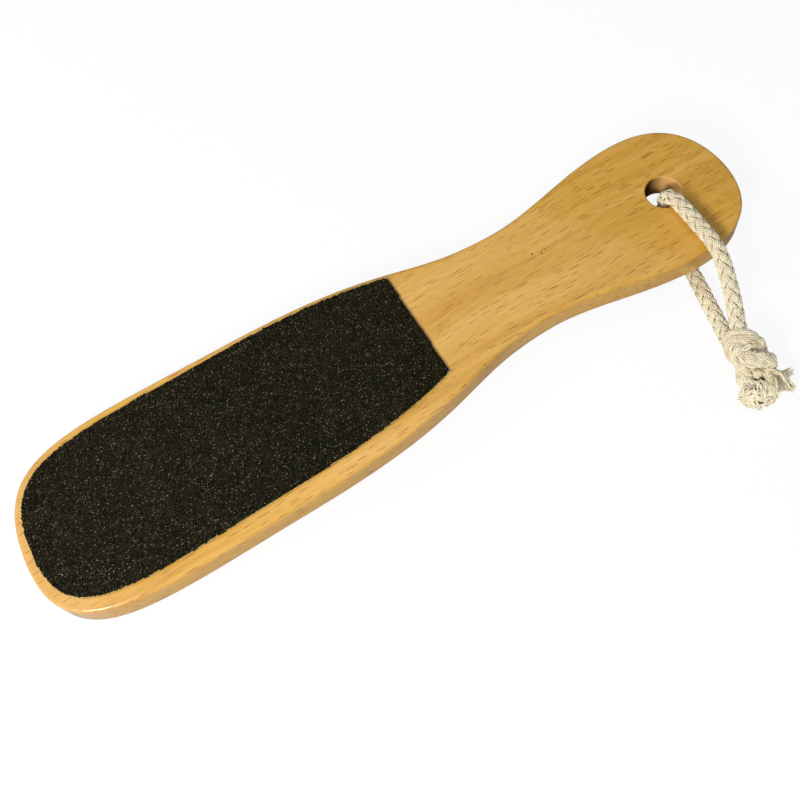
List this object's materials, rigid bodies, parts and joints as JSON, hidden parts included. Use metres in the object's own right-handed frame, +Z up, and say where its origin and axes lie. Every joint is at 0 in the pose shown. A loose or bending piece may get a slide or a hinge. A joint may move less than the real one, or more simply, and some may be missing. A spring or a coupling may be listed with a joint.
{
  "type": "foot file",
  "caption": "Flat wooden paddle with an abrasive sheet on each side of its wide head, and a knotted cord loop through its handle end.",
  "frame": {"origin": "on the table, under the middle of the paddle", "axes": "+X towards the handle end, +Y across the file, +Z up from the table; the paddle leans 1.32 degrees, its handle end propped up by the cord below it"},
  "size_m": [0.2402, 0.1014, 0.021],
  "materials": {
    "beech_wood": "satin lacquer",
    "glue_film": "matte",
    "backing_cloth": "matte",
    "coarse_grit": "rough, with sparkling grains",
    "fine_grit": "rough, finer grains",
    "cotton_cord": "plaited cotton",
    "cotton_yarn": "loose cotton yarn"
  },
  "bodies": {
    "file": {"wooden_paddle": "beech_wood", "front_adhesive": "glue_film", "front_backing": "backing_cloth", "front_grit": "coarse_grit", "rear_adhesive": "glue_film", "rear_backing": "backing_cloth", "rear_grit": "fine_grit"},
    "cord_loop": {"hanging_cord": "cotton_cord", "cord_knot": "cotton_cord", "frayed_end_left": "cotton_yarn", "frayed_end_right": "cotton_yarn"}
  },
  "joints": [
    {"name": "loop_swing", "type": "hinge", "parent": "file", "child": "cord_loop", "pos_m": [0.09627, 0, 0.0105], "axis": [-0.023, 0, 0.9997], "range_deg": [-15, 200]}
  ]
}
